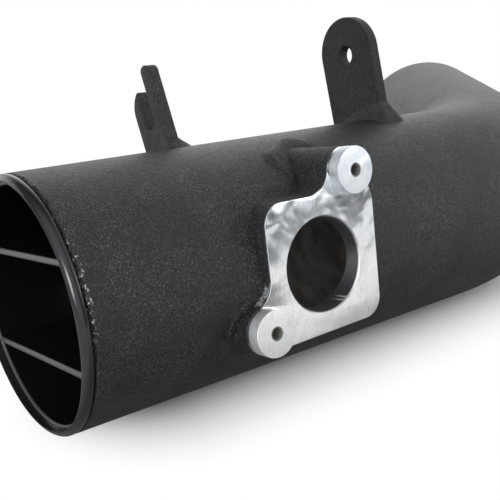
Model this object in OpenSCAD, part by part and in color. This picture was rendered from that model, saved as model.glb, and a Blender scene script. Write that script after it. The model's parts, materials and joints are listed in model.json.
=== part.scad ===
// Cold air intake pipe for a car engine bay: a bent duct with a welded
// flange for an air flow sensor, two welded mounting tabs and a flow
// straightener pressed into its mouth.
//
// Frame: X runs down the middle of the straight run from the mouth, Z is up
// as the pipe lies on a floor, and the leg bends off towards +Y.
// Units are millimetres.

/* [Duct tube] */
// Outside diameter of the duct, a 3 in tube
tube_od = 76.2; // [74:0.1:82]
// Wall of the duct
tube_wall = 1.65; // [1.5:0.05:2.5]
// Length from the mouth to the start of the bend
straight_l = 177.2; // [165:0.2:260]
// Radius of the bend at the middle of the tube
bend_r = 76.2; // [60:0.1:120]
// Turn of the bend, in degrees
bend_turn = 52.4; // [20:0.2:90]
// Length of the plain leg past the bend
leg_l = 100; // [40:1:180]
// Thinning of each side of the wall round the bend
bend_thin = 0.05; // [0.03:0.01:0.2]

/* [Flow straightener] */
// How far the collar stands in front of the cut end of the tube
collar_l = 2.8; // [2.4:0.1:5]
// Rounding of the collar's outer edge
collar_round = 1.6; // [0.6:0.1:1.8]
// Width of the flat lip at the front of the collar
lip_w = 0.26; // [0.2:0.02:0.6]
// How far the blades stand back from the front of the collar
blade_set_back = 2.3; // [1.6:0.1:4]
// Height of each blade above or below the middle of the duct
blade_h = 15.1; // [8:0.1:20]
// Thickness of the blades
blade_t = 2; // [1.2:0.1:3]
// Length of the sleeve and of the blades inside the tube
sleeve_l = 26; // [12:1:40]
// Wall of the sleeve
sleeve_wall = 1.4; // [1:0.1:2.5]
// Gap all round between the sleeve and the tube
sleeve_gap = 0.03; // [0:0.01:0.2]

/* [Sensor flange] */
// Turn of the flange about the duct, up from level
flange_turn = 12.6; // [0:0.1:40]
// Distance of the bore from the mouth
sensor_x = 77.9; // [70:0.1:110]
// Height of the plate's face above the skin of the duct
plate_h = 3.9; // [3.4:0.1:10]
// Diameter of the sensor bore
bore_d = 28.66; // [24:0.02:30]
// Chamfer at the mouth of the bore
bore_chamfer = 0.5; // [0.2:0.1:1]
// Plate edge on the side of the mouth, from the bore axis
plate_near = 20.7; // [20:0.1:23]
// Plate edge on the side of the bend, from the bore axis
plate_far = 22.1; // [20:0.1:24]
// Upper edge of the plate, from the bore axis
plate_up = 20.9; // [20:0.1:22]
// Lower edge of the plate, from the bore axis
plate_down = 20.6; // [20:0.1:21]
// Corner radius of the plate
corner_r = 6.5; // [3:0.1:7]
// Radius of the hollow fillets between the plate and the bosses
web_r = 8; // [6:0.1:9]
// Diameter of the screw bosses
boss_d = 14; // [12:0.1:15]
// Height of the bosses above the plate's face
boss_h = 4.5; // [3:0.1:8]
// Upper boss, from the bore axis along the duct
boss_1_x = 11.6; // [10:0.1:13]
// Upper boss, from the bore axis up the flange
boss_1_z = 26.5; // [25:0.1:28]
// Lower boss, from the bore axis back towards the mouth
boss_2_x = 24.1; // [23:0.1:26]
// Lower boss, from the bore axis down the flange
boss_2_z = 14.3; // [13.6:0.1:15]
// Core diameter of the tapped holes in the bosses
tap_d = 3.3; // [2.5:0.1:4.2]
// Depth of the tapped holes
tap_depth = 9; // [6:0.5:9]
// Wall of the neck that passes through the tube
neck_wall = 2.2; // [1.6:0.1:3]
// Gap between the flange and the tube, at the neck and at the saddle
flange_gap = 0.03; // [0:0.01:0.2]

/* [Holed tab] */
// Thickness of the strap of both tabs
tab_t = 4.7; // [3:0.1:6]
// Distance of the holed tab in front of the bend
holed_to_bend = 34.4; // [28:0.2:50]
// Turn of the holed tab about the duct, back from upright
holed_turn = 20.3; // [-20:0.1:40]
// Width of the holed tab
holed_w = 26.2; // [20:0.1:30]
// Shift of the holed tab's middle off the duct's middle
holed_shift = 0; // [-3:0.1:3]
// Height of the holed tab above the duct
holed_h = 38.5; // [30:0.5:60]
// Diameter of the hole
hole_d = 6.4; // [5:0.1:10]
// Height of the hole above the duct
hole_h = 24.8; // [18:0.1:28]

/* [Slotted tab] */
// Distance of the slotted tab from the mouth
slotted_x = 57.4; // [40:0.2:64]
// Turn of the slotted tab about the duct, back from upright
slotted_turn = 28.8; // [0:0.1:40]
// Width of the slotted tab
slotted_w = 15.2; // [14:0.1:20]
// Height of the round end beside the slot
round_top_h = 22; // [16:0.1:26]
// Height of the longer finger
finger_h = 27.4; // [24:0.1:34]
// Width of the longer finger
finger_w = 4.4; // [3:0.1:6]
// Width of the slot
slot_w = 5.8; // [4:0.1:7]
// Height of the bottom of the slot
slot_bottom_h = 8.2; // [5:0.1:12]

/* [Welds] */
// Leg of the bead round the flange
flange_bead = 4.2; // [3:0.1:6]
// Leg of the bead round the lower boss
boss_bead = 2.2; // [1.5:0.1:5]
// Leg of the weld in front of the holed tab
holed_bead_front = 1.6; // [1:0.1:5]
// Leg of the weld behind the holed tab
holed_bead_back = 5.8; // [1:0.1:7]
// Height of the weld up the holed tab
holed_bead_h = 7; // [3:0.1:9]
// Leg of the weld in front of the slotted tab
slotted_bead_front = 2; // [1:0.1:5]
// Leg of the weld behind the slotted tab
slotted_bead_back = 3.2; // [1:0.1:6]
// Height of the weld up the slotted tab
slotted_bead_h = 3; // [2:0.1:5]
// Leg of the tab welds round the edge on the flange's side
near_bead = 2.4; // [1:0.1:4]
// Leg of the tab welds round the edge on the far side
far_bead = 0.6; // [0.4:0.1:4]
// Height of the tab welds at the far edge
far_bead_h = 1.6; // [1:0.1:3]
// Gap between a weld and the metal it sits on
weld_gap = 0.02; // [0:0.01:0.1]

/* [Hidden] */

tube_r = tube_od / 2;
duct_r = tube_r - tube_wall;
bore_r = bore_d / 2;
neck_r = bore_r + neck_wall;
boss_r = boss_d / 2;

// Height of the plate's face above the middle of the duct
plate_face = tube_r + plate_h;

// Place of the holed tab along the duct
holed_x = straight_l - holed_to_bend;

// Inner edge of the collar's lip
lip_r = tube_r - collar_round - lip_w;
sleeve_r = duct_r - sleeve_gap;
sleeve_in_r = sleeve_r - sleeve_wall;

// Rounding and slight fall of the step behind the lip
step_round = 0.5;
step_fall = 0.1;

// Where the billet starts, well inside the tube
billet_low = tube_r * 0.2;

boss_1 = [boss_1_x, boss_1_z];
boss_2 = [-boss_2_x, -boss_2_z];

// Middle of the corner roundings
corner_up = [-plate_near + corner_r, plate_up - corner_r];
corner_down = [plate_far - corner_r, -plate_down + corner_r];
corner_side_r = 4.5;
corner_side = [plate_far - corner_side_r, plate_up - corner_side_r];

// Middle of the hollow fillets, which touch a plate edge and a boss
web_up = [boss_1[0] - sqrt(pow(web_r + boss_r, 2)
          - pow(plate_up + web_r - boss_1[1], 2)), plate_up + web_r];
web_near = [-plate_near - web_r, boss_2[1] + sqrt(pow(web_r + boss_r, 2)
            - pow(plate_near + web_r + boss_2[0], 2))];

// How far the straight walls run on into the bend's wall
seam_lap = 0.5;

// Set back of an outline's points from where they would just touch a boss
clear_turn = 3;
clear_l = 0.5;

// Depth to which flange, tabs and welds are drawn before the tube is cut from them
root_l = 6;

// How far the neck's stub stops short of the plate's face
neck_stop = 1;

// Size of each drop of the flange's bead, and how far it sits below the skin, in legs
drop_size = 1.1;
drop_sink = 0.65;

// Thickness of the tab welds at their toe, and the rounding of their upper edge
toe_t = 0.2;
crest_in = 0.4;

// How far a cut or a blank runs past what it meets
past = 1;
big = 200;

// Direction square to the line that touches two circles on their left side
function touch(a, ra, b, rb) =
    let (d = b - a, l = norm(d), turn = atan2(d[1], d[0]) + acos((ra - rb) / l))
    [cos(turn), sin(turn)];

function touch_points(a, ra, b, rb) =
    let (n = touch(a, ra, b, rb)) [a + ra * n, b + rb * n];

function heading(v) = atan2(v[1], v[0]);

// Points between two ends, without the ends
function along(a, b, n) = [for (i = [1:n - 1]) a + (b - a) * i / n];

function arc(c, r, from, to, n) =
    [for (i = [0:n]) c + r * [cos(from + (to - from) * i / n), sin(from + (to - from) * i / n)]];

// Height of the outside of the tube at a distance v across it, and its middle beyond
function skin(v) = sqrt(max(0, pow(tube_r, 2) - pow(v, 2)));

// Puts a shape drawn flat, facing +Z, on the side of the duct
module on_flange() {
    rotate([-flange_turn, 0, 0])
        translate([sensor_x, 0, 0])
            rotate([90, 0, 0])
                children();
}

// Puts a shape drawn upright on the duct: X along it, Y across it, Z outwards
module on_duct(x, turn) {
    rotate([-turn, 0, 0])
        translate([x, 0, 0])
            children();
}

module along_x(l, r) {
    rotate([0, 90, 0])
        cylinder(h = l, r = r, $fn = 128);
}

// Cross-section of the wall, thinned on both sides where it is drawn round the bend
module tube_section(thin = 0) {
    difference() {
        circle(r = tube_r - thin, $fn = 128);
        circle(r = duct_r + thin, $fn = 128);
    }
}

module straight_wall(l) {
    rotate([0, 90, 0])
        linear_extrude(height = l)
            tube_section();
}

module intake_tube() {
    color("dimgray")
        difference() {
            union() {
                translate([collar_l, 0, 0])
                    straight_wall(straight_l - collar_l + seam_lap);
                translate([straight_l, bend_r, 0])
                    rotate([0, 0, -90])
                        rotate_extrude(angle = bend_turn, $fn = 240)
                            translate([bend_r, 0])
                                tube_section(bend_thin);
                translate([straight_l, bend_r, 0])
                    rotate([0, 0, bend_turn])
                        translate([-seam_lap, -bend_r, 0])
                            straight_wall(leg_l + seam_lap);
            }
            on_flange()
                cylinder(h = plate_face, r = neck_r + flange_gap, $fn = 96);
        }
}

module straightener_section() {
    polygon(concat(
        [[lip_r, 0]],
        arc([tube_r - collar_round, collar_round], collar_round, -90, 0, 12),
        [[tube_r, collar_l],
         [sleeve_r, collar_l],
         [sleeve_r, collar_l + sleeve_l],
         [sleeve_in_r, collar_l + sleeve_l]],
        arc([sleeve_in_r + step_round, blade_set_back + step_round], step_round, 180, 270, 6),
        [[lip_r - step_fall, blade_set_back]]));
}

module blade_section() {
    tip = blade_t / 2;
    union() {
        translate([blade_set_back + tip, 0])
            circle(r = tip, $fn = 32);
        translate([blade_set_back + tip, -tip])
            square([collar_l + sleeve_l - blade_set_back - tip, blade_t]);
    }
}

module flow_straightener() {
    color("black")
        rotate([-flange_turn, 0, 0])
            union() {
                rotate([0, 90, 0])
                    rotate_extrude($fn = 128)
                        straightener_section();
                for (side = [-1, 1])
                    intersection() {
                        translate([0, 0, side * blade_h])
                            rotate([90, 0, 0])
                                linear_extrude(height = big, center = true)
                                    blade_section();
                        along_x(collar_l + sleeve_l, sleeve_in_r + sleeve_wall / 2);
                    }
            }
}

module circle_at(c, r) {
    translate(c)
        circle(r = r, $fn = 64);
}

// Headings at which the outline leaves one rounding for the next
head_up = heading(web_up - boss_1);
head_near = heading(web_near - boss_2);
head_side = heading(touch(boss_1, boss_r, corner_side, corner_side_r));
head_down = heading(touch(corner_down, corner_r, boss_2, boss_r));

// Straight edges that touch a boss and a corner rounding
edge_side = touch_points(boss_1, boss_r, corner_side, corner_side_r);
edge_down = touch_points(corner_down, corner_r, boss_2, boss_r);

// Outline of the plate without the bosses, clockwise from its upper near corner
plate_walk = concat(
    arc(corner_up, corner_r, 180, 90, 12),
    arc(web_up, web_r, -90, head_up - 180 - clear_turn, 12),
    [boss_1,
     edge_side[0] + clear_l * (edge_side[1] - edge_side[0]) / norm(edge_side[1] - edge_side[0])],
    arc(corner_side, corner_side_r, head_side, 0, 4),
    arc(corner_down, corner_r, 0, head_down, 12),
    [edge_down[1] + clear_l * (edge_down[0] - edge_down[1]) / norm(edge_down[0] - edge_down[1]),
     boss_2],
    arc(web_near, web_r, head_near - 180 + clear_turn, 0, 12));

// Outline of the plate with both bosses
module flange_outline() {
    union() {
        polygon(plate_walk);
        circle_at(boss_1, boss_r);
        circle_at(boss_2, boss_r);
    }
}

module billet() {
    translate([0, 0, billet_low])
        linear_extrude(height = plate_face - billet_low)
            flange_outline();
}

module sensor_flange() {
    color("silver")
        difference() {
            union() {
                difference() {
                    union() {
                        on_flange() billet();
                        on_flange()
                            for (c = [boss_1, boss_2])
                                translate([c[0], c[1], billet_low])
                                    cylinder(h = plate_face + boss_h - billet_low, r = boss_r, $fn = 64);
                    }
                    along_x(straight_l, tube_r + flange_gap);
                }
                difference() {
                    on_flange()
                        translate([0, 0, billet_low])
                            cylinder(h = plate_face - billet_low - neck_stop, r = neck_r, $fn = 96);
                    along_x(straight_l, duct_r);
                }
            }
            on_flange()
                cylinder(h = big, r = bore_r, $fn = 96);
            on_flange()
                translate([0, 0, plate_face - bore_chamfer])
                    cylinder(h = 2 * bore_chamfer, r1 = bore_r, r2 = bore_r + 2 * bore_chamfer, $fn = 96);
            on_flange()
                for (c = [boss_1, boss_2])
                    translate([c[0], c[1], plate_face + boss_h - tap_depth])
                        cylinder(h = tap_depth + past, r = tap_d / 2, $fn = 32);
        }
}

// Middle of the bead, all the way round the flange's foot
bead_walk = concat(
    arc(corner_up, corner_r, 180, 90, 3),
    [(corner_up + [0, corner_r] + web_up - [0, web_r]) / 2],
    arc(web_up, web_r, -90, head_up - 180, 3),
    arc(boss_1, boss_r, head_up - 20, head_side, 6),
    arc(corner_side, corner_side_r, head_side, 0, 2),
    along(corner_side + [corner_side_r, 0], corner_down + [corner_r, 0], 7),
    arc(corner_down, corner_r, 0, head_down, 4),
    along(edge_down[0], edge_down[1], 7),
    arc(boss_2, boss_r, head_down, head_near - 340, 7),
    arc(web_near, web_r, head_near - 180, 0, 3),
    along(web_near + [web_r, 0], corner_up - [corner_r, 0], 4));

module bead_drop(p) {
    leg = norm(p - boss_2) < boss_r + clear_l ? boss_bead : flange_bead;
    translate([p[0], p[1], skin(p[1]) - leg * drop_sink])
        sphere(r = leg * drop_size, $fn = 16);
}

module flange_weld() {
    color("slategray")
        difference() {
            on_flange()
                for (i = [0:len(bead_walk) - 1])
                    hull() {
                        bead_drop(bead_walk[i]);
                        bead_drop(bead_walk[(i + 1) % len(bead_walk)]);
                    }
            along_x(straight_l, tube_r + weld_gap);
            on_flange()
                linear_extrude(height = plate_face)
                    offset(delta = weld_gap)
                        flange_outline();
        }
}

// Ridge of weld round a tab's foot: a ring with sloping sides, cut to the tab's
// width and falling away towards the far edge
module foot_weld(x, turn, w, shift, front, back, rise) {
    near = w / 2 + near_bead;
    far = w / 2 + far_bead;
    on_duct(x, turn)
        intersection() {
            rotate([0, 90, 0])
                rotate_extrude($fn = 128)
                    polygon([[tube_r - root_l, -front],
                             [tube_r + toe_t, -front],
                             [tube_r + rise, -crest_in],
                             [tube_r + rise, tab_t + crest_in],
                             [tube_r + toe_t, tab_t + back],
                             [tube_r - root_l, tab_t + back]]);
            rotate([90, 0, 90])
                translate([shift, 0, -front - past])
                    linear_extrude(height = tab_t + front + back + 2 * past)
                        polygon([[-near, tube_r - root_l],
                                 [-near, skin(near - shift) + toe_t],
                                 [-w / 2 - crest_in, tube_r + rise],
                                 [w / 2 + crest_in, tube_r + far_bead_h],
                                 [far, skin(far + shift) + toe_t],
                                 [far, tube_r - root_l]]);
        }
}

module strap(shift) {
    rotate([90, 0, 90])
        translate([shift, 0, 0])
            linear_extrude(height = tab_t)
                children();
}

module holed_strap() {
    on_duct(holed_x, holed_turn)
        strap(holed_shift)
            difference() {
                union() {
                    translate([0, tube_r + holed_h - holed_w / 2])
                        circle(r = holed_w / 2, $fn = 96);
                    translate([-holed_w / 2, tube_r - root_l])
                        square([holed_w, holed_h + root_l - holed_w / 2]);
                }
                translate([0, tube_r + hole_h])
                    circle(r = hole_d / 2, $fn = 48);
            }
}

module holed_tab() {
    color("dimgray")
        difference() {
            holed_strap();
            along_x(straight_l, tube_r + weld_gap);
        }
}

module holed_tab_weld() {
    color("slategray")
        difference() {
            foot_weld(holed_x, holed_turn, holed_w, holed_shift,
                      holed_bead_front, holed_bead_back, holed_bead_h);
            along_x(straight_l, tube_r + weld_gap);
            holed_strap();
        }
}

module slotted_strap() {
    half = slotted_w / 2;
    slot_x = finger_w - half + slot_w / 2;
    on_duct(slotted_x, slotted_turn)
        strap(0)
            difference() {
                union() {
                    translate([0, tube_r + round_top_h - half])
                        circle(r = half, $fn = 96);
                    translate([-half, tube_r - root_l])
                        square([slotted_w, round_top_h + root_l - half]);
                    translate([-half, tube_r])
                        square([finger_w, finger_h - finger_w / 2]);
                    translate([finger_w / 2 - half, tube_r + finger_h - finger_w / 2])
                        circle(r = finger_w / 2, $fn = 48);
                }
                translate([slot_x, tube_r + slot_bottom_h + slot_w / 2])
                    circle(r = slot_w / 2, $fn = 48);
                translate([slot_x - slot_w / 2, tube_r + slot_bottom_h + slot_w / 2])
                    square([slot_w, big]);
            }
}

module slotted_tab() {
    color("dimgray")
        difference() {
            slotted_strap();
            along_x(straight_l, tube_r + weld_gap);
        }
}

module slotted_tab_weld() {
    color("slategray")
        difference() {
            foot_weld(slotted_x, slotted_turn, slotted_w, 0,
                      slotted_bead_front, slotted_bead_back, slotted_bead_h);
            along_x(straight_l, tube_r + weld_gap);
            slotted_strap();
        }
}

intake_tube();
flow_straightener();
sensor_flange();
flange_weld();
holed_tab();
holed_tab_weld();
slotted_tab();
slotted_tab_weld();
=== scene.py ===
"""Looks of the cold air intake pipe: black textured powder coat, a machined sensor
flange, coated welds and a glossy moulded insert in the mouth.

Everything is in metres, in the part's own frame: X down the straight run from the
mouth, Z up, the leg bends off towards +Y and the sensor flange faces -Y.
"""

import json
import math

import bmesh
import bpy
from mathutils import Matrix, Vector, noise


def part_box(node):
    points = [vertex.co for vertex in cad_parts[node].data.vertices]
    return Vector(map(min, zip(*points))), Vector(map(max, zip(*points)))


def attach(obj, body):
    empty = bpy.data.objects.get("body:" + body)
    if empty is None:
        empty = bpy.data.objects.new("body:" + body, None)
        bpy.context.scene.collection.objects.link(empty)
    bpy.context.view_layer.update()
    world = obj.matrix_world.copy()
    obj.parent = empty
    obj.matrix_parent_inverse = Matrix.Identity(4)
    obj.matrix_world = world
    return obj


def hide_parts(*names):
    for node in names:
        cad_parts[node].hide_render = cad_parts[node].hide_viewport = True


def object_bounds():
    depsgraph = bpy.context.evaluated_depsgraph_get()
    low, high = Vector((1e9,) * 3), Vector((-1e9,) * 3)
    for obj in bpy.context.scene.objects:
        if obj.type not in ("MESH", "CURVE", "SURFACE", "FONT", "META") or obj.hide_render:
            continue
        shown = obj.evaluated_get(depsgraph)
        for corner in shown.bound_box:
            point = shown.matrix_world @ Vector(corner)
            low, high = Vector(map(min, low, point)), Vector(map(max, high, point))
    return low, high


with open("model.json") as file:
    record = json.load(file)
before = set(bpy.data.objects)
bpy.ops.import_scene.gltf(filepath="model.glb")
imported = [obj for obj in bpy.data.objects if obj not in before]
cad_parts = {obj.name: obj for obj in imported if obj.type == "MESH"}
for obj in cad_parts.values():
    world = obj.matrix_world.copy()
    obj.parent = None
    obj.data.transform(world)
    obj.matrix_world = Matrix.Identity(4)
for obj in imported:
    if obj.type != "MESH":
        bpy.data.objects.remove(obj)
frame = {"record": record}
cad_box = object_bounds()

MM = 0.001
mounts = {m["name"]: m for m in frame["record"]["mounts"]}

# Sizes that the frame gives
TUBE_R = mounts["air_outlet"]["dims"]["r_mm"] * MM
LEG_L = mounts["air_outlet"]["dims"]["length_mm"] * MM
BORE_R = mounts["sensor_bore"]["dims"]["r_mm"] * MM
CORE_R = mounts["sensor_screw_upper"]["dims"]["r_mm"] * MM
TAP_L = mounts["sensor_screw_upper"]["dims"]["length_mm"] * MM
HOLE_R = mounts["tab_hole"]["dims"]["r_mm"] * MM
TAB_T = mounts["tab_hole"]["dims"]["length_mm"] * MM

# The duct
TUBE_WALL = 1.65 * MM
DUCT_R = TUBE_R - TUBE_WALL
CUT_ROUND = 0.6 * MM

# The moulded insert
COLLAR_L = 2.8 * MM
COLLAR_ROUND = 1.6 * MM
COLLAR_CROWN = 0.24 * MM
COLLAR_BACK_ROUND = 0.45 * MM
COLLAR_GAP = 0.55 * MM
LIP_W = 0.26 * MM
BLADE_SET_BACK = 2.3 * MM
BLADE_H = 15.1 * MM
BLADE_T = 2.0 * MM
SLEEVE_L = 26.0 * MM
SLEEVE_WALL = 1.4 * MM
SLEEVE_GAP = 0.03 * MM
SLEEVE_ROUND = 0.5 * MM

# The sensor flange
PLATE_FACE = TUBE_R + 3.9 * MM
PLATE_NEAR = 20.7 * MM
PLATE_FAR = 22.1 * MM
PLATE_UP = 20.9 * MM
PLATE_DOWN = 20.6 * MM
CORNER_R = 6.5 * MM
SIDE_CORNER_R = 4.5 * MM
WEB_R = 8.0 * MM
BOSS_R = 7.0 * MM
BOSS_H = 4.5 * MM
BOSS_PROUD = 0.004 * MM
NECK_WALL = 2.2 * MM
FIT_GAP = 0.03 * MM
RIM_BEVEL = 0.3 * MM
THREAD_R = 2.0 * MM
THREAD_PITCH = 0.7 * MM
TAP_CHAMFER = 0.2 * MM
BORE_CHAMFER = 0.5 * MM

# The tabs
HOLED_W = 26.2 * MM
HOLED_H = 38.5 * MM
HOLED_TURN = math.radians(20.3)
SLOTTED_W = 15.2 * MM
SLOTTED_TURN = math.radians(28.8)
ROUND_TOP_H = 22.0 * MM
FINGER_H = 27.4 * MM
FINGER_W = 4.4 * MM
SLOT_W = 5.8 * MM
SLOT_BOTTOM_H = 8.2 * MM
EDGE_ROUND = 0.7 * MM
FOOT_CORNER_R = 0.8 * MM
# Where a strap's outline starts, below the skin that cuts its foot
TAB_LOW = TUBE_R - 6 * MM

# Points closer than this are one, and an edge shorter than this is none
SAME_POINT = 2e-6
NO_LENGTH = 1e-7


# Basic helpers


def new_object(name, mesh):
    obj = bpy.data.objects.new(name, mesh)
    bpy.context.scene.collection.objects.link(obj)
    return obj


def mesh_object(name, verts, faces):
    mesh = bpy.data.meshes.new(name)
    mesh.from_pydata([tuple(v) for v in verts], [], faces)
    mesh.update()
    return new_object(name, mesh)


def loft(name, rings, closed=False):
    """A skin through rings of equally many points. Closed joins the last ring to the first."""
    n = len(rings[0])
    verts = [p for ring in rings for p in ring]
    faces = []
    count = len(rings)
    for i in range(count if closed else count - 1):
        a, b = i * n, (i + 1) % count * n
        faces += [(a + j, a + (j + 1) % n, b + (j + 1) % n, b + j) for j in range(n)]
    if not closed:
        faces.append(tuple(range(n))[::-1])
        faces.append(tuple(range((count - 1) * n, count * n)))
    obj = mesh_object(name, verts, faces)
    face_outwards(obj)
    return obj


def face_outwards(obj):
    bm = bmesh.new()
    bm.from_mesh(obj.data)
    bmesh.ops.recalc_face_normals(bm, faces=bm.faces)
    bm.to_mesh(obj.data)
    bm.free()


def apply_modifiers(obj):
    bpy.context.view_layer.update()
    graph = bpy.context.evaluated_depsgraph_get()
    mesh = bpy.data.meshes.new_from_object(obj.evaluated_get(graph))
    obj.modifiers.clear()
    obj.data = mesh


def carve(piece, tool, operation="DIFFERENCE"):
    """Cuts tool from piece, or joins it on, and removes the tool."""
    step = piece.modifiers.new("carve", "BOOLEAN")
    step.object = tool
    step.operation = operation
    step.solver = "EXACT"
    apply_modifiers(piece)
    bpy.data.objects.remove(tool)


def finish_piece(obj, node, angle=30):
    """Shades the piece, with sharp edges past the angle, and sets it in for its CAD node."""
    obj.data.shade_smooth()
    obj.data.set_sharp_from_angle(angle=math.radians(angle))
    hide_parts(node)
    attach(obj, "root")


# Outlines


def arc(centre, r, start, end, n):
    """Points on an arc, with angles in degrees."""
    out = []
    for i in range(n + 1):
        a = math.radians(start + (end - start) * i / n)
        out.append(Vector((centre[0] + r * math.cos(a), centre[1] + r * math.sin(a))))
    return out


def circle(centre, r, n):
    return arc(centre, r, 0, 360, n)[:-1]


def heading(v):
    return math.degrees(math.atan2(v[1], v[0]))


def touch_heading(a, ra, b, rb):
    """Heading of the radius at which a line touches two circles on their left side."""
    d = b - a
    return heading(d) + math.degrees(math.acos((ra - rb) / d.length))


def prism(name, outlines, low, high, bevel, place):
    """Extrudes an outline, with its holes after it, from low to high, with rounded rims."""
    curve = bpy.data.curves.new(name, "CURVE")
    curve.dimensions = "2D"
    curve.fill_mode = "BOTH"
    curve.extrude = (high - low) / 2 - bevel
    curve.bevel_depth = bevel
    curve.bevel_resolution = 2
    curve.offset = -bevel
    for outline in outlines:
        spline = curve.splines.new("POLY")
        spline.points.add(len(outline) - 1)
        for point, p in zip(spline.points, outline):
            point.co = (p[0], p[1], 0, 1)
        spline.use_cyclic_u = True
    draft = new_object(name, curve)
    bpy.context.view_layer.update()
    graph = bpy.context.evaluated_depsgraph_get()
    mesh = bpy.data.meshes.new_from_object(draft.evaluated_get(graph))
    bpy.data.objects.remove(draft)
    mesh.transform(place @ Matrix.Translation((0, 0, (low + high) / 2)))
    obj = new_object(name, mesh)
    weld_seams(obj)
    return obj


def weld_seams(obj):
    """Joins the doubled points that the curve's caps leave."""
    bm = bmesh.new()
    bm.from_mesh(obj.data)
    bmesh.ops.remove_doubles(bm, verts=bm.verts, dist=SAME_POINT)
    bmesh.ops.dissolve_degenerate(bm, edges=bm.edges, dist=NO_LENGTH)
    bmesh.ops.recalc_face_normals(bm, faces=bm.faces)
    bm.to_mesh(obj.data)
    bm.free()


def columns(x, y, z, origin):
    """The matrix that takes a local frame with these axes and origin to the part's frame."""
    m = Matrix.Identity(4)
    for i, axis in enumerate((x, y, z, origin)):
        for j in range(3):
            m[j][i] = axis[j]
    return m


def cylinder_along_x(name, r, low, high, n=256):
    rings = []
    for x in (low, high):
        rings.append([(x, r * math.cos(a), r * math.sin(a)) for a in turns(n)])
    return loft(name, rings)


def turns(n):
    return [2 * math.pi * i / n for i in range(n)]


def clamped(value):
    return max(0.0, min(1.0, value))


# The duct's middle line

outlet = mounts["air_outlet"]
BEND_TURN = math.atan2(outlet["axis"][1], outlet["axis"][0])
half_leg = Vector(outlet["axis"]) * LEG_L / 2
bend_end = Vector(outlet["pos_m"]) - half_leg
BEND_R = bend_end.y / (1 - math.cos(BEND_TURN))
STRAIGHT_L = bend_end.x - BEND_R * math.sin(BEND_TURN)
BEND_L = BEND_R * BEND_TURN
DUCT_L = STRAIGHT_L + BEND_L + LEG_L


def on_path(s):
    """Point on the duct's middle line at the distance s from the mouth, and its heading."""
    if s <= STRAIGHT_L:
        return Vector((s, 0, 0)), 0.0
    if s <= STRAIGHT_L + BEND_L:
        a = (s - STRAIGHT_L) / BEND_R
        return Vector((STRAIGHT_L + BEND_R * math.sin(a), BEND_R * (1 - math.cos(a)), 0)), a
    past = s - STRAIGHT_L - BEND_L
    return bend_end + Vector((math.cos(BEND_TURN), math.sin(BEND_TURN), 0)) * past, BEND_TURN


def duct_ring(s, r, n):
    """Ring of radius r round the middle line at s. It starts at the top and goes towards -Y."""
    centre, a = on_path(s)
    side = Vector((math.sin(a), -math.cos(a), 0))
    up = Vector((0, 0, 1))
    return [centre + r * (math.cos(t) * up + math.sin(t) * side) for t in turns(n)]


# Shader helpers


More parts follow.
